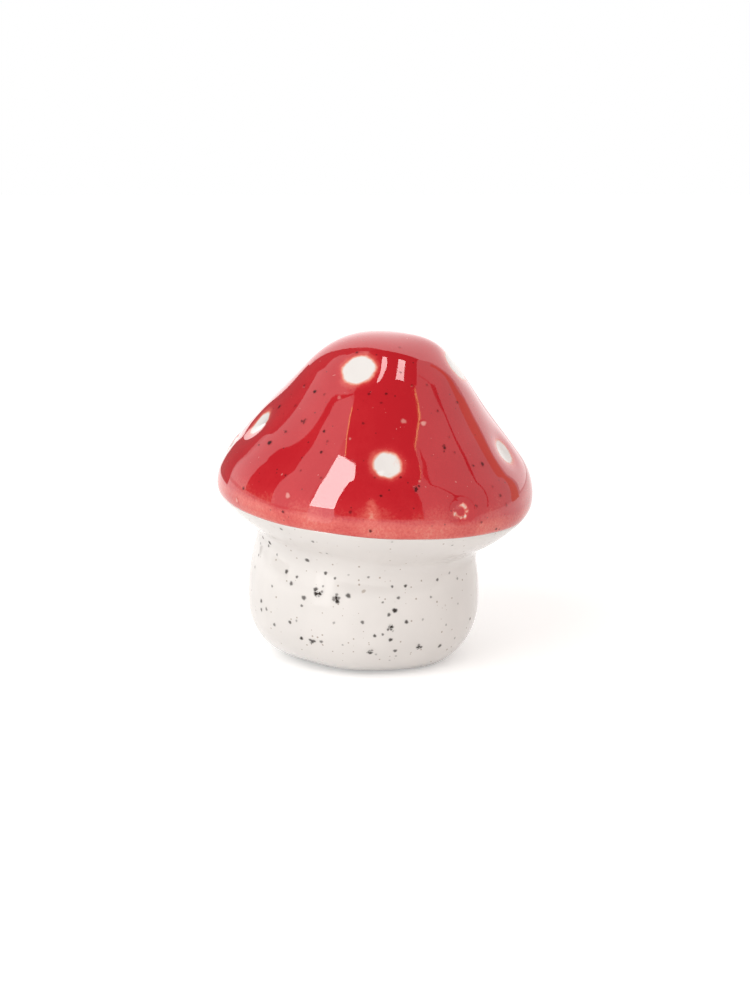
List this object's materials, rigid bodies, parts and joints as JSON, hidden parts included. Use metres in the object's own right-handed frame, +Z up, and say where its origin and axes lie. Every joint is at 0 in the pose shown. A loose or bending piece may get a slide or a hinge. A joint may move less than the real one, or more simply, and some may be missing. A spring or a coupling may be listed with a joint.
{
  "type": "ceramic mushroom ornament",
  "caption": "Free-standing glazed clay toadstool: a hollow red cap with white dots, set a little crooked on a squat speckled white stem with a bare foot ring.",
  "frame": {"origin": "centre of the foot ring, on the surface that the ornament stands on", "axes": "+Z up along the stem's axis, -Y towards the viewer of the front, +X to the viewer's right, the side that the cap leans to"},
  "size_m": [0.0521, 0.0522, 0.055],
  "materials": {
    "fired_clay": "matte",
    "slip": "matte",
    "red_glaze": "gloss",
    "white_glaze": "gloss",
    "dot_glaze": "gloss"
  },
  "bodies": {
    "root": {"cap_casting": "fired_clay", "stem_casting": "fired_clay", "slip_joint": "slip", "red_glaze": "red_glaze", "white_glaze": "white_glaze", "crown_dot_front": "dot_glaze", "crown_dot_right": "dot_glaze", "crown_dot_back": "dot_glaze", "crown_dot_left": "dot_glaze", "flank_dot_front": "dot_glaze", "flank_dot_right": "dot_glaze", "flank_dot_back_right": "dot_glaze", "flank_dot_back": "dot_glaze", "flank_dot_left": "dot_glaze", "rim_dot_left": "dot_glaze", "rim_dot_back": "dot_glaze"}
  },
  "joints": []
}
